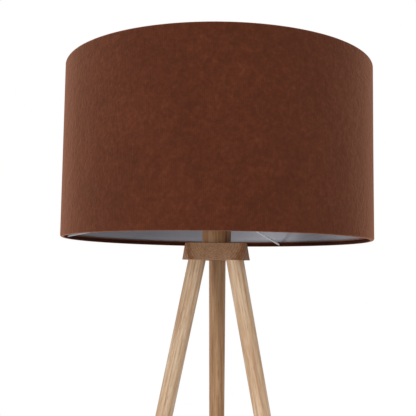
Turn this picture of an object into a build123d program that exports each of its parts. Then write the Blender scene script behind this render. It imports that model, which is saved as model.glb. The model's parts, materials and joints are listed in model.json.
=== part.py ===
from build123d import *
import os
from math import cos, hypot, radians, sin

# Tripod floor lamp, in millimetres. The origin is on the floor, on the lamp's upright axis.
# +Z is up and -Y is the front: one leg points to the rear and two point to the front corners.

# Overall sizes
overall_height = 1530.0
shade_diameter = 450.0
shade_height = 250.0
shade_gap_over_hub = 4.6
leg_azimuths = {"left": 210.0, "right": 330.0, "rear": 90.0}

# Clearances between pieces that turn against each other
thread_clearance = 0.05
socket_clearance = 0.3
seat_clearance = 0.2

# Hub: a tapered triangular block whose corners, over the legs, are cut off upright
hub_cover = 4.4
hub_taper = 7.9
hub_side_wall = 5.9
hub_inner_wall = 6.5
hub_corner_wall = 6.1
hub_edge_radius = 0.35

# Legs: round, tapered, screwed into shallow sockets in the hub's underside
leg_splay = 12.3
leg_top_diameter = 25.2
leg_foot_diameter = 16.0
leg_socket_depth = 8.0

# Hanger bolts and the threaded inserts that they screw into
bolt_diameter = 8.0
bolt_length_in_leg = 38.0
bolt_length_in_insert = 10.5
insert_wall = 2.0
insert_length = 12.0

# Nail-on glides under the legs, domed so that they stand well at any turn of the leg
glide_diameter = 15.0
glide_thickness = 6.0
glide_sole_radius = 14.0
nail_diameter = 2.4
nail_head_diameter = 6.0
nail_head_thickness = 1.0
nail_head_inset = 3.0
nail_length_in_leg = 14.0

# Threaded tube that clamps hub, stem and lampholder together, with its nut and washer
tube_outer_diameter = 10.0
tube_hole_clearance = 0.3
tube_length_below_nut = 1.5
tube_length_in_cap = 9.0
hub_washer_width = 6.0
hub_washer_thickness = 1.5
hub_nut_wall = 3.0
hub_nut_thickness = 4.0
counterbore_clearance = 1.5

# Plastic bush that guards the cord's way into the tube
bush_bore_diameter = 6.0
bush_wall = 0.7
bush_flange_overhang = 1.5
bush_flange_thickness = 2.0
bush_stub_length = 6.0
bush_recess = 1.5

# Wooden stem between hub and lampholder
stem_diameter = 42.0
stem_height = 20.6
stem_edge_radius = 0.8
stem_washer_width = 10.0
stem_washer_thickness = 1.0

# Lampholder cap
cap_height = 22.0
cap_inset = 0.75
cap_floor = 3.0
cap_spigot_wall = 2.0
cap_spigot_height = 8.0
cap_boss_wall = 6.0
lock_screw_diameter = 3.0

# Lampholder mantle, with the flange that the shade sits on
mantle_diameter = 39.5
mantle_wall = 2.75
mantle_flange_width = 4.25
mantle_flange_thickness = 4.0
mantle_lip_thickness = 2.0
mouth_clearance = 0.6

# Contact carrier and E27 contacts
carrier_thickness = 12.0
carrier_well_depth = 5.0
carrier_side_gap = 0.1
shell_bore_diameter = 26.6
shell_wall = 0.8
shell_height = 20.0
shell_headroom = 1.0
shell_foot_width = 2.6
leaf_width = 6.0
leaf_thickness = 0.8
leaf_tail = 9.0
leaf_knee = 4.5
leaf_rise = 4.5
leaf_tip = 5.0
leaf_crest = 2.0
plate_length = 8.6
plate_width = 8.0
plate_thickness = 1.0
rivet_diameter = 1.8
live_rivet_x = -7.2
rivet_head_thickness = 0.6
rivet_head_diameter = 2.6
terminal_screw_diameter = 2.5
terminal_screw_depth = 6.0
terminal_head_diameter = 4.4
terminal_head_thickness = 2.0
terminal_pitch = 4.2

# Threaded ring that clamps the shade
shade_ring_height = 12.0
shade_ring_wall = 3.25
shade_ring_flange_width = 4.0
shade_ring_flange_thickness = 3.0
shade_ring_grips = 24
shade_ring_grip_radius = 1.4

# Shade: fabric rolled round two wire rings, a stiff liner and a three-armed spider
fabric_thickness = 1.2
liner_thickness = 0.8
hem_height = 7.5
shade_edge_radius = 3.0
shade_wire_diameter = 4.0
spider_wire_diameter = 3.2
spider_azimuths = (63.0, 183.0, 303.0)
fitter_clearance = 1.25
fitter_width = 4.0
fitter_thickness = 2.0
slit_clearance = 0.2

# Radii that several pieces share
tube_radius = tube_outer_diameter / 2
tube_hole_radius = tube_radius + tube_hole_clearance
tube_inner_radius = bush_bore_diameter / 2 + bush_wall
hub_washer_radius = tube_radius + hub_washer_width
counterbore_radius = hub_washer_radius + counterbore_clearance
mantle_radius = mantle_diameter / 2
mantle_inner_radius = mantle_radius - mantle_wall
cap_radius = mantle_radius - cap_inset
cap_inner_radius = mantle_inner_radius - cap_spigot_wall
shell_inner_radius = shell_bore_diameter / 2
shell_outer_radius = shell_inner_radius + shell_wall
shell_foot_radius = shell_inner_radius - shell_foot_width
shell_rivet_x = shell_inner_radius - shell_foot_width / 2
fitter_inner_radius = mantle_radius + fitter_clearance
fitter_outer_radius = fitter_inner_radius + fitter_width
shade_ring_radius = mantle_radius + shade_ring_wall
shade_radius = shade_diameter / 2
fabric_inner_radius = shade_radius - fabric_thickness
liner_inner_radius = fabric_inner_radius - liner_thickness
wire_radius = shade_wire_diameter / 2
wire_ring_radius = liner_inner_radius - wire_radius
hem_outer_radius = wire_ring_radius - wire_radius
hem_inner_radius = hem_outer_radius - fabric_thickness

# The hub keeps its walls round the legs and the counterbore whatever their sizes
insert_outer_radius = bolt_diameter / 2 + insert_wall
leg_radius = leg_top_diameter / 2
leg_circle_radius = counterbore_radius + hub_inner_wall + leg_radius
hub_inradius_bottom = leg_circle_radius / 2 + leg_radius + hub_side_wall
hub_inradius_top = hub_inradius_bottom - hub_taper
hub_corner_distance = leg_circle_radius + leg_radius + hub_corner_wall
hub_thickness = leg_socket_depth + insert_length + hub_cover

# Levels up the lamp's axis
shade_bottom = overall_height - shade_height
hub_top = shade_bottom - shade_gap_over_hub
hub_bottom = hub_top - hub_thickness
tube_bottom = hub_bottom + bush_recess + bush_flange_thickness
nut_bottom = tube_bottom + tube_length_below_nut
nut_top = nut_bottom + hub_nut_thickness
counterbore_top = nut_top + hub_washer_thickness
stem_top = hub_top + stem_height
cap_bottom = stem_top + stem_washer_thickness
cap_top = cap_bottom + cap_height
tube_top = cap_bottom + tube_length_in_cap
spigot_top = cap_top + cap_spigot_height
carrier_top = spigot_top + carrier_thickness
well_floor = carrier_top - carrier_well_depth
shell_top = carrier_top + shell_height
mantle_top = shell_top + shell_headroom + mantle_lip_thickness
flange_top = cap_top + mantle_flange_thickness
fitter_bottom = flange_top + seat_clearance
fitter_top = fitter_bottom + fitter_thickness
ring_bottom = fitter_top + seat_clearance
bottom_wire_level = shade_bottom + fabric_thickness + wire_radius
top_wire_level = overall_height - fabric_thickness - wire_radius

BASE = (Align.CENTER, Align.CENTER, Align.MIN)


def rod(radius, bottom, top):
    """An upright cylinder on the lamp's axis, or on a leg's axis in the leg's own frame."""
    return Pos(0, 0, bottom) * Cylinder(radius, top - bottom, align=BASE)


def tube(outer_radius, inner_radius, bottom, top):
    return rod(outer_radius, bottom, top) - rod(inner_radius, bottom, top)


def prism(inradius, azimuth, bottom, top, taper=0.0):
    """A triangular prism with a flat side facing the azimuth; taper draws its sides in going up."""
    section = RegularPolygon(inradius, 3, major_radius=False, rotation=azimuth + 180)
    return extrude(Plane.XY.offset(bottom) * section, top - bottom, taper=taper)


# --- Leg frames: +Z runs up a leg's axis, from zero where the axis meets the hub's underside

splay = radians(leg_splay)
sole_centre = -(hub_bottom - glide_sole_radius) / cos(splay)
glide_tip = sole_centre - glide_sole_radius
leg_bottom = glide_tip + glide_thickness
socket_top = leg_socket_depth / cos(splay)
leg_top = socket_top - socket_clearance


def leg_frame(azimuth):
    turn = radians(azimuth)
    foot = Vector(leg_circle_radius * cos(turn), leg_circle_radius * sin(turn), hub_bottom)
    upward = Vector(-sin(splay) * cos(turn), -sin(splay) * sin(turn), cos(splay))
    sideways = Vector(-sin(turn), cos(turn), 0)
    return Plane(origin=foot, x_dir=sideways, z_dir=upward)


def make_hanger_bolt():
    return rod(bolt_diameter / 2, leg_top - bolt_length_in_leg, socket_top + bolt_length_in_insert)


def make_glide_nail():
    head_bottom = leg_bottom - nail_head_inset
    head = rod(nail_head_diameter / 2, head_bottom, head_bottom + nail_head_thickness)
    return head + rod(nail_diameter / 2, head_bottom, leg_bottom + nail_length_in_leg)


def make_glide():
    dome = Pos(0, 0, sole_centre) * Sphere(glide_sole_radius)
    return (rod(glide_diameter / 2, glide_tip, leg_bottom) & dome) - make_glide_nail()


def make_leg():
    blank = Pos(0, 0, leg_bottom) * Cone(
        leg_foot_diameter / 2, leg_radius, leg_top - leg_bottom, align=BASE
    )
    return blank - make_hanger_bolt() - make_glide_nail()


def make_insert():
    bore = bolt_diameter / 2 + thread_clearance
    return tube(insert_outer_radius, bore, socket_top, socket_top + insert_length)


# --- Hub, stem and the tube through them


def make_hub():
    narrowing = (hub_inradius_bottom - hub_inradius_top) / hub_thickness
    block = prism(hub_inradius_bottom, 270, hub_bottom, hub_top, taper=degrees_of(narrowing))
    block &= prism(hub_corner_distance, 90, hub_bottom, hub_top)
    block = fillet(block.edges(), hub_edge_radius)
    block -= rod(tube_hole_radius, hub_bottom, hub_top)
    block -= rod(counterbore_radius, hub_bottom, counterbore_top)
    socket = rod(leg_radius + socket_clearance, -leg_top_diameter, socket_top)
    socket += rod(insert_outer_radius, socket_top, socket_top + insert_length)
    for azimuth in leg_azimuths.values():
        block -= leg_frame(azimuth) * socket
    return block


def degrees_of(slope):
    """The angle, in degrees, whose tangent is the slope."""
    return Vector(1, slope, 0).get_angle(Vector(1, 0, 0))


def make_stem():
    stem = rod(stem_diameter / 2, hub_top, stem_top)
    stem = fillet(stem.edges(), stem_edge_radius)
    return stem - rod(tube_hole_radius, hub_top, stem_top)


def make_hub_nut():
    section = RegularPolygon(tube_radius + hub_nut_wall, 6, major_radius=False)
    nut = extrude(Plane.XY.offset(nut_bottom) * section, hub_nut_thickness)
    return nut - rod(tube_radius, nut_bottom, nut_top)


def make_cable_bush():
    flange_bottom = tube_bottom - bush_flange_thickness
    stub_top = tube_bottom + bush_stub_length
    bush = rod(tube_radius + bush_flange_overhang, flange_bottom, tube_bottom)
    bush += rod(tube_inner_radius, tube_bottom, stub_top)
    return bush - rod(bush_bore_diameter / 2, flange_bottom, stub_top)


# --- Lampholder


def make_lock_screw():
    """A grub screw through the cap's boss, which bears on the threaded tube."""
    level = (cap_bottom + cap_floor + tube_top) / 2
    screw = Cylinder(lock_screw_diameter / 2, tube_radius + cap_boss_wall, align=BASE)
    return Pos(0, 0, level) * Rot(90, 0, 0) * screw - rod(tube_radius, cap_bottom, cap_top)


def make_cap():
    cap = rod(cap_radius, cap_bottom, cap_top) + rod(mantle_inner_radius, cap_top, spigot_top)
    cap -= rod(cap_inner_radius, cap_bottom + cap_floor, spigot_top)
    cap += rod(tube_radius + cap_boss_wall, cap_bottom, tube_top)
    return cap - rod(tube_radius, cap_bottom, tube_top) - make_lock_screw()


def make_mantle():
    mantle = rod(mantle_radius + mantle_flange_width, cap_top, flange_top)
    mantle += rod(mantle_radius, cap_top, mantle_top)
    mantle -= rod(mantle_inner_radius, cap_top, mantle_top - mantle_lip_thickness)
    return mantle - rod(shell_outer_radius + mouth_clearance, cap_top, mantle_top)


def make_contact_rivets():
    """Two rivets, countersunk flush in the contacts, that join them to the plates below the carrier."""
    rivets = []
    contact_tops = {live_rivet_x: well_floor + leaf_thickness, shell_rivet_x: carrier_top + shell_wall}
    for x, head_top in contact_tops.items():
        shank_top = head_top - rivet_head_thickness
        rivet = rod(rivet_diameter / 2, spigot_top - plate_thickness, shank_top)
        head = Cone(rivet_diameter / 2, rivet_head_diameter / 2, rivet_head_thickness, align=BASE)
        rivets.append(Pos(x, 0, 0) * (rivet + Pos(0, 0, shank_top) * head))
    return rivets


def make_terminal_screws():
    """Two screws that clamp the cord's wires against the plates."""
    plate_bottom = spigot_top - plate_thickness
    screw = rod(terminal_head_diameter / 2, plate_bottom - terminal_head_thickness, plate_bottom)
    screw += rod(terminal_screw_diameter / 2, plate_bottom, plate_bottom + terminal_screw_depth)
    places = (live_rivet_x - terminal_pitch, shell_rivet_x - terminal_pitch)
    return [Pos(x, 0, 0) * screw for x in places]


def cut_all(blank, tools):
    for tool in tools:
        blank -= tool
    return blank


def make_terminal_plates():
    blank = Box(plate_length, plate_width, plate_thickness, align=BASE)
    blank = Pos(0, 0, spigot_top - plate_thickness) * blank
    tools = make_contact_rivets() + make_terminal_screws()
    places = (live_rivet_x - terminal_pitch / 2, shell_rivet_x - terminal_pitch / 2)
    return [cut_all(Pos(x, 0, 0) * blank, tools) for x in places]


def make_carrier():
    """A thick disc with a well in its top, where the centre contact lies below the screw shell."""
    carrier = rod(mantle_inner_radius - carrier_side_gap, spigot_top, carrier_top)
    carrier -= rod(shell_foot_radius, well_floor, carrier_top)
    return cut_all(carrier, make_contact_rivets() + make_terminal_screws())


def make_screw_shell():
    shell = tube(shell_outer_radius, shell_inner_radius, carrier_top, shell_top)
    shell += tube(shell_inner_radius, shell_foot_radius, carrier_top, carrier_top + shell_wall)
    return cut_all(shell, make_contact_rivets())


def make_centre_contact():
    """A brass leaf: a riveted tail, a knee, a rising tongue and a flat crest under the bulb's tip."""
    lower = [(-leaf_tail, 0), (-leaf_knee, 0), (leaf_crest, leaf_rise), (leaf_tip, leaf_rise)]
    upper = [(x, z + leaf_thickness) for x, z in reversed(lower)]
    section = Plane.XZ * make_face(Polyline(*lower, *upper, close=True))
    leaf = Pos(0, 0, well_floor) * extrude(section, leaf_width / 2, both=True)
    return cut_all(leaf, make_contact_rivets())


def make_shade_ring():
    top = ring_bottom + shade_ring_height
    flange_level = ring_bottom + shade_ring_flange_thickness
    ring = rod(shade_ring_radius, ring_bottom, top)
    ring += rod(shade_ring_radius + shade_ring_flange_width, ring_bottom, flange_level)
    grip = rod(shade_ring_grip_radius, flange_level, top)
    for place in PolarLocations(shade_ring_radius, shade_ring_grips):
        ring -= place * grip
    return ring - rod(mantle_radius + thread_clearance, ring_bottom, top)


# --- Shade


def make_wire_ring(level):
    return Pos(0, 0, level) * Torus(wire_ring_radius, wire_radius)


def spider_rod(azimuth, radius):
    """A straight wire from the fitter ring's edge out to the centre line of the bottom ring."""
    start = Vector(fitter_outer_radius - spider_wire_diameter, 0, (fitter_bottom + fitter_top) / 2)
    end = Vector(wire_ring_radius, 0, bottom_wire_level)
    reach = end - start
    frame = Plane(origin=start, x_dir=(0, 1, 0), z_dir=reach)
    wire = frame * Cylinder(radius, hypot(reach.X, reach.Z), align=BASE)
    return Rot(0, 0, azimuth) * (wire - rod(fitter_outer_radius, shade_bottom, overall_height))


def make_spider_arms():
    bottom_ring = make_wire_ring(bottom_wire_level)
    return [spider_rod(a, spider_wire_diameter / 2) - bottom_ring for a in spider_azimuths]


def make_fabric():
    """A drum whose edges roll inwards round the wire rings, slit where the spider's arms pass."""

    def band(inner, outer, bottom, top):
        corner = (Align.MIN, Align.MIN)
        return Pos(inner, bottom) * Rectangle(outer - inner, top - bottom, align=corner)

    section = band(hem_inner_radius, shade_radius, shade_bottom, overall_height)
    section = fillet(section.vertices(), shade_edge_radius)
    low, high = shade_bottom + fabric_thickness, overall_height - fabric_thickness
    section -= band(hem_outer_radius, fabric_inner_radius, low, high)
    section -= band(0, hem_outer_radius, shade_bottom + hem_height, overall_height - hem_height)
    drum = revolve(Plane.XZ * section, Axis.Z)
    slits = [spider_rod(a, spider_wire_diameter / 2 + slit_clearance) for a in spider_azimuths]
    return cut_all(drum, slits)


def make_liner():
    low, high = shade_bottom + fabric_thickness, overall_height - fabric_thickness
    return tube(fabric_inner_radius, liner_inner_radius, low, high)


# --- Every node, by name

nodes = {
    "hub_block": make_hub(),
    "hub_inserts": [leg_frame(a) * make_insert() for a in leg_azimuths.values()],
    "hub_washer": tube(hub_washer_radius, tube_hole_radius, nut_top, counterbore_top),
    "hub_nut": make_hub_nut(),
    "threaded_tube": tube(tube_radius, tube_inner_radius, tube_bottom, tube_top),
    "cable_bush": make_cable_bush(),
    "stem": make_stem(),
    "stem_washer": tube(tube_radius + stem_washer_width, tube_hole_radius, stem_top, cap_bottom),
    "lampholder_cap": make_cap(),
    "lampholder_lock_screw": make_lock_screw(),
    "lampholder_mantle": make_mantle(),
    "contact_carrier": make_carrier(),
    "screw_shell": make_screw_shell(),
    "centre_contact": make_centre_contact(),
    "contact_rivets": make_contact_rivets(),
    "terminal_plates": make_terminal_plates(),
    "terminal_screws": make_terminal_screws(),
    "shade_ring": make_shade_ring(),
    "shade_fitter_ring": tube(fitter_outer_radius, fitter_inner_radius, fitter_bottom, fitter_top),
    "shade_spider_arms": make_spider_arms(),
    "shade_bottom_wire": make_wire_ring(bottom_wire_level),
    "shade_top_wire": make_wire_ring(top_wire_level),
    "shade_liner": make_liner(),
    "shade_fabric": make_fabric(),
}
for side, azimuth in leg_azimuths.items():
    frame = leg_frame(azimuth)
    nodes[f"leg_{side}"] = frame * make_leg()
    nodes[f"leg_{side}_bolt"] = frame * make_hanger_bolt()
    nodes[f"leg_{side}_glide"] = frame * make_glide()
    nodes[f"leg_{side}_glide_nail"] = frame * make_glide_nail()

os.makedirs("parts", exist_ok=True)
for name, shape in nodes.items():
    solids = shape if isinstance(shape, list) else [shape]
    export_step(Compound(children=[s.solid() for s in solids]), f"parts/{name}.step")
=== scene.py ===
import json
from math import cos, pi, radians, sin

import bpy
import numpy as np
from mathutils import Matrix, Vector


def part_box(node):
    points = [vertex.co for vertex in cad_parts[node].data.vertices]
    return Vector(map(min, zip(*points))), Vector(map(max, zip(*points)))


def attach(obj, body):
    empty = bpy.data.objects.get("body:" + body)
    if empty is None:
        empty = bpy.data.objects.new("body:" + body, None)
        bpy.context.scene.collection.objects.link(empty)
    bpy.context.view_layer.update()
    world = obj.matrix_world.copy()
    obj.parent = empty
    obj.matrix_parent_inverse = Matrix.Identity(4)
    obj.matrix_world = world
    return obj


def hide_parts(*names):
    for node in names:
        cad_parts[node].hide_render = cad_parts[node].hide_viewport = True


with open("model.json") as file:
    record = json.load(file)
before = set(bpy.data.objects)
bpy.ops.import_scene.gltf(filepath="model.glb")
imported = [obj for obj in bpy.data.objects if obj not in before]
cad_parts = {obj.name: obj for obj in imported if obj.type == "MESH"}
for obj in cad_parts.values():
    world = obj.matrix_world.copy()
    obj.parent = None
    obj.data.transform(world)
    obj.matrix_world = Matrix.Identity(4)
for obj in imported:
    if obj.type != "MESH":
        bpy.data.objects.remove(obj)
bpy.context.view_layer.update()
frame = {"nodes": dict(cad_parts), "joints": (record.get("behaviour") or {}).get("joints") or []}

JOINTS = {j["name"]: j for j in frame["joints"]}

# The camera: how far from the lamp's axis, from which side, how high under the shade and how it is tipped
CAMERA_DISTANCE = 1.0574
CAMERA_AZIMUTH = radians(3.16)
CAMERA_LEFT = 0.0134
CAMERA_BELOW_SHADE = 0.0520
CAMERA_PITCH = 0.0938
CAMERA_ROLL = 0.0139
FOCAL_LENGTH = 62.47
SENSOR_WIDTH = 36.0

# The studio: light from all round, a little stronger from the left, and two soft lamps, each as its name,
# place, size in metres and power in watts
AMBIENT = 0.66
AMBIENT_TILT = 0.22
LIGHTS = (
    ("key", (-2.10, -2.14, 1.02), 0.45, 29),
    ("fill", (1.75, -2.45, 1.85), 0.8, 21),
)
LIGHT_TARGET_HEIGHT = 1.25
FLOOR_RADIUS = 3.2
FLOOR_SIDES = 96

# The shade's cloth and film
CLOTH_THICKNESS = 0.0010
CLOTH_EDGE_RADIUS = 0.0022
CLOTH_RIB_PITCH = 0.0024
CLOTH_OVERLAP = 0.015
HEM_HEIGHT = 0.0075
FILM_THICKNESS = 0.0005
SEAM_AZIMUTH = radians(97)
CLOTH_SEGMENTS = 420
CLOTH_RIPPLE = 0.00007
FILM_SEGMENTS = 300
FILM_RIPPLE = 0.00003
FILM_OVERLAP = 0.009
FILM_END_GAP = 0.002
CAD_LINER_THICKNESS = 0.0008
HEM_TO_FILM_GAP = 0.0003
# Where the lap begins to rise, as a share of a turn, how many thicknesses it rises by, and the ripples' waves
# round the drum, with the power that shapes each up its height
LAP_RISE = 0.003
LAP_LIFT = 1.15
RIPPLES = ((5, 1), (9, 1), (14, 2), (23, 1), (31, 2))

# The lampholder's shell: its foot is a little lower than the flush rivet heads in it
SHELL_WALL = 0.0008
SHELL_FOOT_WIDTH = 0.0026
SHELL_FOOT_DROP = 0.00006
SHELL_THREAD_DEPTH = 0.0004
SHELL_PITCH = 0.0036
SHELL_SEGMENTS = 96
SHELL_ROWS_PER_TURN = 10


# Wood: a direction that no piece's grain runs in, and how far outside a leg its tree's centre lay
ASKEW = (0.31, 0.87, 0.12)
LEG_PITH_OFFSET = 0.055


# --- Small helpers for mesh code


def new_object(name, verts, faces, uvs=None, smooth=True):
    """A mesh object; uvs gives one (u, v) for each corner of each face."""
    mesh = bpy.data.meshes.new(name)
    mesh.from_pydata([tuple(v) for v in verts], [], faces)
    if uvs is not None:
        layer = mesh.uv_layers.new(name="UVMap")
        layer.data.foreach_set("uv", np.asarray(uvs, np.float32).ravel())
    mesh.polygons.foreach_set("use_smooth", [smooth] * len(mesh.polygons))
    mesh.update()
    obj = bpy.data.objects.new(name, mesh)
    bpy.context.scene.collection.objects.link(obj)
    return obj


def arc(centre, radius, start, end, steps):
    """Points of a circular arc in the (r, z) plane, both ends included; angles are in degrees."""
    turns = np.radians(np.linspace(start, end, steps))
    return [(centre[0] + radius * cos(t), centre[1] + radius * sin(t)) for t in turns]


def line(start, end, steps):
    """Points from start towards end, both ends included."""
    shares = np.linspace(0, 1, steps)
    return [(start[0] + (end[0] - start[0]) * s, start[1] + (end[1] - start[1]) * s) for s in shares]


def wrapped_sheet(name, path, thickness, overlap, segments, wave, seed):
    """A thin sheet wrapped round the shade's axis: path is its middle line in the (r, z) plane.

    The sheet starts at the seam, goes once round and laps over its own start by overlap metres. Wave
    scales its ripple, which dies out at both rims.
    """
    points = np.array(path)
    steps = np.gradient(points, axis=0)
    normals = np.stack([steps[:, 1], -steps[:, 0]], axis=1)
    normals /= np.linalg.norm(normals, axis=1, keepdims=True)
    outer = points + normals * thickness / 2
    inner = points - normals * thickness / 2
    loop = np.concatenate([outer, inner[::-1]])
    lengths = np.concatenate([[0], np.cumsum(np.linalg.norm(np.diff(points, axis=0), axis=1))])
    along = np.concatenate([lengths, lengths[::-1]])
    radius = points[:, 0].max()
    full = 2 * pi + overlap / radius
    turns = np.linspace(0, full, segments + 1)
    lap = np.clip((turns - 2 * pi * (1 - LAP_RISE)) / (2 * pi * LAP_RISE), 0, 1)
    lift = lap * lap * (3 - 2 * lap) * thickness * LAP_LIFT
    rng = np.random.default_rng(seed)
    middle = (points[:, 1].min() + points[:, 1].max()) / 2
    half = (points[:, 1].max() - points[:, 1].min()) / 2
    belly = np.clip(1 - ((loop[:, 1] - middle) / half) ** 2, 0, 1)
    waves = sum(
        rng.normal() * np.outer(np.sin(k * turns + rng.uniform(0, 6)), belly ** power)
        for k, power in RIPPLES
    )
    radii = loop[None, :, 0] + lift[:, None] + wave * waves
    angles = SEAM_AZIMUTH + turns
    verts = np.stack(
        [
            radii * np.cos(angles)[:, None],
            radii * np.sin(angles)[:, None],
            np.broadcast_to(loop[None, :, 1], radii.shape),
        ],
        axis=2,
    ).reshape(-1, 3)
    n = len(loop)
    faces, uvs = [], []
    for i in range(segments):
        u0, u1 = turns[i] * radius, turns[i + 1] * radius
        for j in range(n):
            k = (j + 1) % n
            faces.append((i * n + j, (i + 1) * n + j, (i + 1) * n + k, i * n + k))
            uvs += [(u0, along[j]), (u1, along[j]), (u1, along[k]), (u0, along[k])]
    for i, flip in ((0, False), (segments, True)):
        for j in range(len(points) - 1):
            k = n - 1 - j
            quad = [i * n + j, i * n + j + 1, i * n + k - 1, i * n + k]
            faces.append(tuple(quad[::-1] if flip else quad))
            uvs += [(turns[i] * radius, along[j])] * 4
    return new_object(name, verts, faces, uvs)


def rolled_shell(name, outer, wall, foot, low, high):
    """A thin metal shell with a round thread rolled into it, and a flat foot ring turned in at its bottom.

    Outer is the crests' radius, wall the depth of metal and thread together, and foot the foot's inner radius.
    """
    turns = np.linspace(0, 2 * pi, SHELL_SEGMENTS, endpoint=False)
    start = low + wall
    rows = int((high - start) / SHELL_PITCH * SHELL_ROWS_PER_TURN) + 2
    levels = np.linspace(start, high, rows)
    fade = np.clip(np.minimum(levels - start, high - levels) / SHELL_PITCH, 0, 1)
    phase = 2 * pi * levels[:, None] / SHELL_PITCH - turns[None, :]
    dip = SHELL_THREAD_DEPTH * (0.5 - 0.5 * np.cos(phase) * fade[:, None])
    sheet = wall - SHELL_THREAD_DEPTH
    flat = np.ones_like(turns)
    rings = [(outer * flat, low)]
    rings += [(outer - d, z) for d, z in zip(dip, levels)]
    rings += [(outer - sheet - d, z) for d, z in zip(dip[::-1], levels[::-1])]
    rings += [(foot * flat, start - SHELL_FOOT_DROP), (foot * flat, low)]
    verts = [(r * cos(t), r * sin(t), z) for radii, z in rings for r, t in zip(radii, turns)]
    n = SHELL_SEGMENTS
    faces = []
    for i in range(len(rings)):
        k = (i + 1) % len(rings)
        for j in range(n):
            m = (j + 1) % n
            faces.append((i * n + j, i * n + m, k * n + m, k * n + j))
    return new_object(name, verts, faces)


# --- Materials, all from nodes


class Nodes:
    """A material's node tree, with short calls for the nodes that are used here."""

    def __init__(self, name):
        self.material = bpy.data.materials.new(name)
        self.material.use_nodes = True
        self.tree = self.material.node_tree
        self.tree.nodes.clear()
        self.shader = self.add("ShaderNodeBsdfPrincipled")
        output = self.add("ShaderNodeOutputMaterial")
        self.link(self.shader.outputs["BSDF"], output.inputs["Surface"])

    def add(self, kind, **settings):
        node = self.tree.nodes.new(kind)
        for key, value in settings.items():
            setattr(node, key, value)
        return node

    def link(self, source, target):
        self.tree.links.new(source, target)

    def put(self, value, socket):
        if isinstance(value, bpy.types.NodeSocket):
            self.link(value, socket)
        else:
            socket.default_value = value

    def math(self, operation, *values, clamp=False):
        node = self.add("ShaderNodeMath", operation=operation, use_clamp=clamp)
        for value, socket in zip(values, node.inputs):
            self.put(value, socket)
        return node.outputs[0]

    def vector(self, operation, *values):
        node = self.add("ShaderNodeVectorMath", operation=operation)
        for value, socket in zip(values, node.inputs):
            self.put(value, socket)
        return node.outputs["Value" if operation in ("DOT_PRODUCT", "LENGTH") else "Vector"]

    def combine(self, x, y, z):
        node = self.add("ShaderNodeCombineXYZ")
        for value, socket in zip((x, y, z), node.inputs):
            self.put(value, socket)
        return node.outputs[0]

    def noise(self, vector, scale, detail=3.0, rough=0.5, distortion=0.0):
        node = self.add("ShaderNodeTexNoise")
        self.put(vector, node.inputs["Vector"])
        node.inputs["Scale"].default_value = scale
        node.inputs["Detail"].default_value = detail
        node.inputs["Roughness"].default_value = rough
        node.inputs["Distortion"].default_value = distortion
        return node.outputs["Fac"]

    def ramp(self, value, stops):
        """Stops are (place, colour or grey level)."""
        node = self.add("ShaderNodeValToRGB")
        elements = node.color_ramp.elements
        while len(elements) < len(stops):
            elements.new(0.5)
        for element, (place, colour) in zip(elements, stops):
            element.position = place
            level = (colour,) * 3 if isinstance(colour, (int, float)) else colour
            element.color = (*level, 1)
        self.put(value, node.inputs["Fac"])
        return node.outputs["Color"]

    def mix(self, share, first, second, blend="MIX"):
        node = self.add("ShaderNodeMix", data_type="RGBA", blend_type=blend)
        self.put(share, node.inputs["Factor"])
        for value, index in ((first, 6), (second, 7)):
            if isinstance(value, tuple):
                value = (*value, 1)
            self.put(value, node.inputs[index])
        return node.outputs[2]

    def bump(self, height, strength, distance):
        node = self.add("ShaderNodeBump")
        node.inputs["Strength"].default_value = strength
        node.inputs["Distance"].default_value = distance
        self.put(height, node.inputs["Height"])
        return node.outputs["Normal"]

    def place(self):
        return self.add("ShaderNodeTexCoord").outputs["Object"]

    def set(self, **values):
        """Sets or links the shader's sockets, named with _ for each space."""
        for key, value in values.items():
            self.put(value, self.shader.inputs[key.replace("_", " ")])
        return self.material


def srgb(red, green, blue):
    """A colour given in screen levels, 0 to 255, as the linear one that nodes take."""

    def linear(level):
        level /= 255
        return level / 12.92 if level <= 0.04045 else ((level + 0.055) / 1.055) ** 2.4

    return tuple(linear(level) for level in (red, green, blue))


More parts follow.
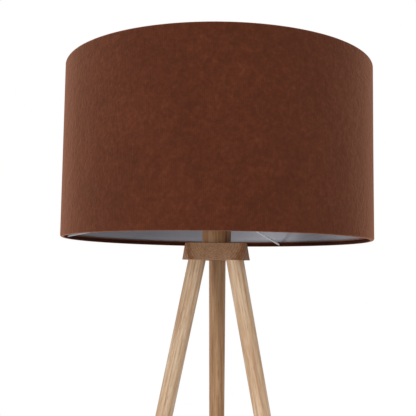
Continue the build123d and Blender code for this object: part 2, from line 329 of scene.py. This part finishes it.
def wood(name, axis, pith, tones, ring_pitch, ring_share=0.3, seed=0.0, figure=1.0, heart=None):
    """Oiled wood whose growth rings lie round a pith line: axis is its direction and pith a point on it.

    Tones are the pale early wood, the middle tone and the dark late wood. Figure is how strong the streaks
    are. Heart gives three distances from the pith: a dark band begins, is at its darkest and ends.
    """
    n = Nodes(name)
    along = Vector(axis).normalized()
    side = along.cross(Vector(ASKEW)).normalized()
    across = along.cross(side)
    offset = n.vector("SUBTRACT", n.place(), tuple(pith))
    a = n.vector("DOT_PRODUCT", offset, tuple(side))
    b = n.vector("DOT_PRODUCT", offset, tuple(across))
    c = n.math("ADD", n.vector("DOT_PRODUCT", offset, tuple(along)), seed)

    def fibres(scale, squeeze, detail=3, rough=0.55):
        return n.noise(n.combine(a, b, n.math("MULTIPLY", c, squeeze)), scale, detail, rough)

    warp = n.math("SUBTRACT", fibres(38, 0.06, 2), 0.5)
    distance = n.math("SQRT", n.math("ADD", n.math("MULTIPLY", a, a), n.math("MULTIPLY", b, b)))
    distance = n.math("ADD", distance, n.math("MULTIPLY", warp, ring_pitch * 2.2))
    rings = n.math("FRACT", n.math("DIVIDE", distance, ring_pitch))
    late = n.ramp(rings, [(0.0, 0.15), (0.12, 0.0), (0.6, 0.35), (0.9, 1.0), (1.0, 0.15)])
    fine = n.math("SUBTRACT", fibres(1000, 0.04, 3, 0.6), 0.5)
    streak = n.math("SUBTRACT", fibres(260, 0.06), 0.5)
    broad = n.math("SUBTRACT", fibres(70, 0.08, 2), 0.5)
    tone = n.math("MULTIPLY", n.math("SUBTRACT", late, 0.4), ring_share)
    for layer, weight in ((fine, 0.55), (streak, 1.1), (broad, 0.7)):
        tone = n.math("ADD", tone, n.math("MULTIPLY", layer, weight * figure))
    if heart:
        band = [(reach / heart[2], level) for reach, level in zip(heart, (0.0, 0.32, 0.1))]
        tone = n.math("ADD", tone, n.ramp(n.math("DIVIDE", distance, heart[2]), band))
    pale, middle, dark = tones
    body = n.ramp(n.math("ADD", tone, 0.5), [(0.22, pale), (0.5, middle), (0.8, dark)])
    pores = n.ramp(fibres(1500, 0.05, 1, 0.4), [(0.0, 0.0), (0.62, 0.0), (0.72, 1.0)])
    deep = tuple(level * 0.6 for level in dark)
    colour = n.mix(n.math("MULTIPLY", pores, 0.5), body, deep)
    rough = n.math("ADD", 0.5, n.math("MULTIPLY", tone, 0.15))
    height = n.math("SUBTRACT", n.math("MULTIPLY", fine, 0.8), pores)
    height = n.math("ADD", height, n.math("MULTIPLY", late, 0.3))
    return n.set(
        Base_Color=colour, Roughness=rough, Specular_IOR_Level=0.3,
        Normal=n.bump(height, 0.3, 0.0004),
    )


def ribbed_velvet(name, deep, centre, worn, olive, sheen):
    """Short-pile velvet with a fine upright rib, brushed in small patches; its sheet's UVs are in metres."""
    n = Nodes(name)
    split = n.add("ShaderNodeSeparateXYZ")
    n.link(n.add("ShaderNodeUVMap", uv_map="UVMap").outputs["UV"], split.inputs[0])
    u, v = split.outputs[0], split.outputs[1]

    def patches(scale, squeeze, layer, detail=3, rough=0.55, distortion=0.0):
        place = n.combine(u, n.math("MULTIPLY", v, squeeze), layer)
        return n.math("SUBTRACT", n.noise(place, scale, detail, rough, distortion), 0.5)

    wander = patches(45, 0.4, 0.0, 2)
    phase = n.math("ADD", n.math("DIVIDE", u, CLOTH_RIB_PITCH), n.math("MULTIPLY", wander, 1.2))
    rib = n.math("SINE", n.math("MULTIPLY", phase, 2 * pi))
    broken = n.ramp(n.math("ADD", patches(160, 0.25, 5.3, 2), 0.5), [(0.35, 0.0), (0.65, 1.0)])
    rib = n.math("MULTIPLY", rib, broken)
    pile = patches(1500, 0.6, 0.0, 3, 0.6)
    fleck = patches(230, 0.85, 2.6, 3, 0.6)
    brushed = patches(100, 0.9, 7.7, 3, 0.6, 0.3)
    broad = patches(15, 0.8, 1.9, 2)
    tone = n.math("MULTIPLY", brushed, 0.46)
    for layer, weight in ((broad, 0.26), (fleck, 0.48), (pile, 0.34), (rib, 0.04)):
        tone = n.math("ADD", tone, n.math("MULTIPLY", layer, weight))
    body = n.ramp(n.math("ADD", tone, 0.5), [(0.30, deep), (0.50, centre), (0.72, worn)])
    hue = n.ramp(n.math("ADD", patches(38, 0.8, 4.4, 2), 0.5), [(0.42, 0.0), (0.60, 1.0)])
    colour = n.mix(n.math("MULTIPLY", hue, 0.3), body, n.mix(1.0, body, olive, "MULTIPLY"))
    height = n.math("ADD", n.math("MULTIPLY", rib, 0.25), n.math("MULTIPLY", pile, 0.9))
    height = n.math("ADD", height, n.math("MULTIPLY", fleck, 1.6))
    height = n.math("ADD", height, n.math("MULTIPLY", brushed, 4.0))
    return n.set(
        Base_Color=colour, Roughness=0.95, Specular_IOR_Level=0.1,
        Sheen_Weight=sheen, Sheen_Roughness=0.44, Sheen_Tint=(1.0, 0.47, 0.29, 1),
        Normal=n.bump(height, 0.5, 0.0006),
    )


def film(name, colour):
    """Satin plastic film with a faint upright laminating grain."""
    n = Nodes(name)
    stretched = n.vector("MULTIPLY", n.place(), (1, 1, 0.08))
    grain = n.noise(stretched, 320, 3)
    cloud = n.noise(n.place(), 14, 2)
    shade = n.math("ADD", n.math("MULTIPLY", grain, 0.5), n.math("MULTIPLY", cloud, 0.5))
    tint = n.ramp(shade, [(0.3, tuple(c * 0.93 for c in colour)), (0.7, colour)])
    rough = n.math("ADD", 0.42, n.math("MULTIPLY", grain, 0.2))
    return n.set(Base_Color=tint, Metallic=0.3, Roughness=rough, Normal=n.bump(grain, 0.12, 0.0003))


def paint(name, colour, rough=0.42, peel=900.0):
    """Powder coat or moulded plastic: a fine orange-peel surface, a little dirtier in patches."""
    n = Nodes(name)
    fine = n.noise(n.place(), peel, 2)
    patch = n.noise(n.place(), 60, 3)
    tint = n.ramp(patch, [(0.3, tuple(c * 0.9 for c in colour)), (0.65, colour)])
    level = n.math("ADD", rough - 0.06, n.math("MULTIPLY", patch, 0.12))
    return n.set(Base_Color=tint, Roughness=level, Normal=n.bump(fine, 0.18, 0.0002))


def metal(name, colour, rough=0.3, stretch=(1, 1, 0.05)):
    """Plated or bare metal with fine drawing marks along stretch's short direction."""
    n = Nodes(name)
    marks = n.noise(n.vector("MULTIPLY", n.place(), stretch), 2600, 2)
    stain = n.noise(n.place(), 90, 3)
    tint = n.ramp(stain, [(0.3, tuple(c * 0.8 for c in colour)), (0.7, colour)])
    level = n.math("ADD", rough - 0.08, n.math("MULTIPLY", marks, 0.2))
    return n.set(Base_Color=tint, Metallic=1.0, Roughness=level, Normal=n.bump(marks, 0.1, 0.0001))


def assign(material, *names):
    for name in names:
        node = frame["nodes"][name]
        node.data.materials.clear()
        node.data.materials.append(material)


# --- The shade


def edge_path(low, ring_radius, wire, wall, lip_radius):
    """The cloth's middle line at the bottom rim, from the hem's free edge inside to the outer wall."""
    half = CLOTH_THICKNESS / 2
    ring_level = low + 0.0012 + wire
    inside = ring_radius - wire - half
    under = ring_level - wire - half
    edge = CLOTH_EDGE_RADIUS
    path = line((lip_radius, low + HEM_HEIGHT), (inside + 0.0002, ring_level + 0.0006), 5)
    path += arc((ring_radius, ring_level), wire + half, 180, 268, 8)
    path += arc((wall - edge, under + edge), edge, -88, 0, 8)
    return path


def make_cloth():
    low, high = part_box("shade_fabric")
    wire_low, wire_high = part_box("shade_bottom_wire")
    liner_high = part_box("shade_liner")[1]
    wire = (wire_high.z - wire_low.z) / 2
    ring_radius = wire_high.y - wire
    wall = high.y - CLOTH_THICKNESS / 2
    lip = liner_high.y - CAD_LINER_THICKNESS - CLOTH_THICKNESS / 2 - HEM_TO_FILM_GAP
    bottom = edge_path(low.z, ring_radius, wire, wall, lip)
    top = [(r, low.z + high.z - z) for r, z in reversed(bottom)]
    middle = line(bottom[-1], top[0], 26)[1:-1]
    cloth = wrapped_sheet("shade_cloth", bottom + middle + top, CLOTH_THICKNESS, CLOTH_OVERLAP,
                          CLOTH_SEGMENTS, CLOTH_RIPPLE, seed=4)
    tones = [srgb(70, 33, 19), srgb(81, 39, 23), srgb(98, 50, 31), srgb(238, 248, 236)]
    cloth.data.materials.append(ribbed_velvet("rust_velvet", *tones, sheen=0.6))
    # The turned-in hem inside the drum gets a darker copy of the velvet with no sheen: painted shade for the
    # dim light inside the shade
    painted_shade_tones = [srgb(44, 16, 6), srgb(53, 20, 8), srgb(64, 26, 12), srgb(255, 255, 255)]
    cloth.data.materials.append(ribbed_velvet("painted_shade_velvet", *painted_shade_tones, sheen=0.0))
    for face in cloth.data.polygons:
        if Vector(face.center.xy).length < ring_radius - wire * 0.6:
            face.material_index = 1
    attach(cloth, "shade")
    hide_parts("shade_fabric")


def make_film():
    low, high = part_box("shade_liner")
    radius = high.y - CAD_LINER_THICKNESS + FILM_THICKNESS / 2
    path = line((radius, low.z + FILM_END_GAP), (radius, high.z - FILM_END_GAP), 20)
    sheet = wrapped_sheet("shade_film", path, FILM_THICKNESS, FILM_OVERLAP,
                          FILM_SEGMENTS, FILM_RIPPLE, seed=9)
    sheet.data.materials.append(film("silver_film", srgb(153, 152, 159)))
    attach(sheet, "shade")
    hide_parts("shade_liner")


# --- The lampholder's screw shell


def make_shell():
    low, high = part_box("screw_shell")
    foot = high.x - SHELL_WALL - SHELL_FOOT_WIDTH
    shell = rolled_shell("rolled_shell", high.x, SHELL_WALL, foot, low.z, high.z)
    shell.data.materials.append(metal("shell_aluminium", srgb(205, 205, 208), 0.32))
    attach(shell, "stand")
    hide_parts("screw_shell")


# --- Camera, light and floor


def make_camera():
    shade_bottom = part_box("shade_fabric")[0].z
    turn = Matrix.Rotation(CAMERA_AZIMUTH, 3, "Z")
    ahead = turn @ Vector((0, cos(CAMERA_PITCH), sin(CAMERA_PITCH)))
    level = turn @ Vector((1, 0, 0))
    up = level.cross(ahead)
    right = level * cos(CAMERA_ROLL) + up * sin(CAMERA_ROLL)
    up = right.cross(ahead)
    data = bpy.data.cameras.new("camera")
    data.lens = FOCAL_LENGTH
    data.sensor_width = SENSOR_WIDTH
    camera = bpy.data.objects.new("camera", data)
    place = turn @ Vector((-CAMERA_LEFT, -CAMERA_DISTANCE, 0))
    place.z = shade_bottom - CAMERA_BELOW_SHADE
    camera.matrix_world = Matrix.Translation(place) @ Matrix((right, up, -ahead)).transposed().to_4x4()
    bpy.context.scene.collection.objects.link(camera)
    bpy.context.scene.camera = camera


def area_light(name, place, target, size, power):
    data = bpy.data.lights.new(name, "AREA")
    data.shape = "DISK"
    data.size = size
    data.energy = power
    light = bpy.data.objects.new(name, data)
    light.location = place
    light.rotation_euler = (Vector(target) - Vector(place)).to_track_quat("-Z", "Y").to_euler()
    bpy.context.scene.collection.objects.link(light)


def make_studio():
    scene = bpy.context.scene
    scene.view_settings.view_transform = "Standard"
    scene.view_settings.look = "None"
    world = bpy.data.worlds.new("studio")
    world.use_nodes = True
    tree = world.node_tree
    seen = tree.nodes["Background"]
    seen.inputs["Color"].default_value = (1, 1, 1, 1)
    lighting = tree.nodes.new("ShaderNodeBackground")
    lighting.inputs["Color"].default_value = (1, 1, 1, 1)
    split = tree.nodes.new("ShaderNodeSeparateXYZ")
    tree.links.new(tree.nodes.new("ShaderNodeTexCoord").outputs["Generated"], split.inputs[0])
    tilt = tree.nodes.new("ShaderNodeMath")
    tilt.operation = "MULTIPLY_ADD"
    tree.links.new(split.outputs[0], tilt.inputs[0])
    tilt.inputs[1].default_value = -AMBIENT * AMBIENT_TILT
    tilt.inputs[2].default_value = AMBIENT
    tree.links.new(tilt.outputs[0], lighting.inputs["Strength"])
    choose = tree.nodes.new("ShaderNodeMixShader")
    tree.links.new(tree.nodes.new("ShaderNodeLightPath").outputs["Is Camera Ray"], choose.inputs[0])
    tree.links.new(lighting.outputs[0], choose.inputs[1])
    tree.links.new(seen.outputs[0], choose.inputs[2])
    tree.links.new(choose.outputs[0], tree.nodes["World Output"].inputs["Surface"])
    scene.world = world
    for name, place, size, power in LIGHTS:
        area_light(name, place, (0, 0, LIGHT_TARGET_HEIGHT), size, power)
    turns = np.linspace(0, 2 * pi, FLOOR_SIDES, endpoint=False)
    floor = new_object("floor", [(FLOOR_RADIUS * cos(t), FLOOR_RADIUS * sin(t), 0) for t in turns],
                       [tuple(range(len(turns)))], smooth=False)
    n = Nodes("pale_floor")
    mottle = n.noise(n.place(), 4, 3)
    tint = n.ramp(mottle, [(0.3, srgb(226, 226, 226)), (0.7, srgb(232, 232, 232))])
    floor.data.materials.append(n.set(Base_Color=tint, Roughness=0.9))


def finish_cad_nodes():
    """Materials for the CAD nodes that are shown as they are."""
    # The rear leg's tones are darker than the front legs': painted shade for the dimmer light on the leg that
    # stands behind them
    legs = {
        "left": (0.13, srgb(212, 188, 160), srgb(190, 157, 125), srgb(156, 118, 84)),
        "right": (0.71, srgb(220, 196, 168), srgb(200, 167, 134), srgb(166, 127, 92)),
        "rear": (1.37, srgb(186, 150, 113), srgb(167, 127, 91), srgb(140, 99, 67)),
    }
    for side, (seed, *tones) in legs.items():
        joint = JOINTS[f"leg_{side}_screw"]
        axis = Vector(joint["axis"])
        pith = Vector(joint["pos_m"]) + axis.cross(Vector((0.3, 0.8, 0.1))).normalized() * LEG_PITH_OFFSET
        assign(wood(f"leg_{side}_wood", axis, pith, tones, 0.0042, 0.14, seed, figure=0.9), f"leg_{side}")
    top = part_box("hub_block")[1].z
    tones = (srgb(174, 136, 106), srgb(158, 118, 87), srgb(122, 77, 46))
    assign(wood("hub_wood", (0, 1, 0), (-0.002, 0, top + 0.004), tones, 0.0034, 0.2, 2.2,
                figure=0.5, heart=(0.034, 0.044, 0.048)), "hub_block")
    tones = (srgb(156, 114, 76), srgb(141, 99, 62), srgb(116, 76, 44))
    assign(wood("stem_wood", (0, 0, 1), (0.03, 0.05, top), tones, 0.004, 0.3, 3.1), "stem")
    assign(paint("white_coat", srgb(214, 214, 216), 0.36), "shade_fitter_ring", "shade_spider_arms",
           "shade_bottom_wire", "shade_top_wire")
    assign(paint("white_moulding", srgb(224, 223, 218), 0.34, 500), "lampholder_cap", "lampholder_mantle",
           "shade_ring")
    assign(paint("white_ceramic", srgb(232, 230, 222), 0.6, 1500), "contact_carrier")
    assign(paint("black_moulding", srgb(30, 30, 31), 0.45, 700), "cable_bush")
    nylon = paint("glide_nylon", srgb(222, 218, 204), 0.5, 600)
    zinc = metal("bright_zinc", srgb(190, 193, 198), 0.3)
    brass = metal("dull_brass", srgb(196, 160, 92), 0.34)
    assign(zinc, "hub_washer", "hub_nut", "threaded_tube", "stem_washer", "lampholder_lock_screw",
           "terminal_screws")
    assign(brass, "hub_inserts", "centre_contact", "contact_rivets", "terminal_plates")
    for side in ("left", "right", "rear"):
        assign(nylon, f"leg_{side}_glide")
        assign(zinc, f"leg_{side}_bolt", f"leg_{side}_glide_nail")


make_camera()
make_studio()
finish_cad_nodes()
make_cloth()
make_film()
make_shell()
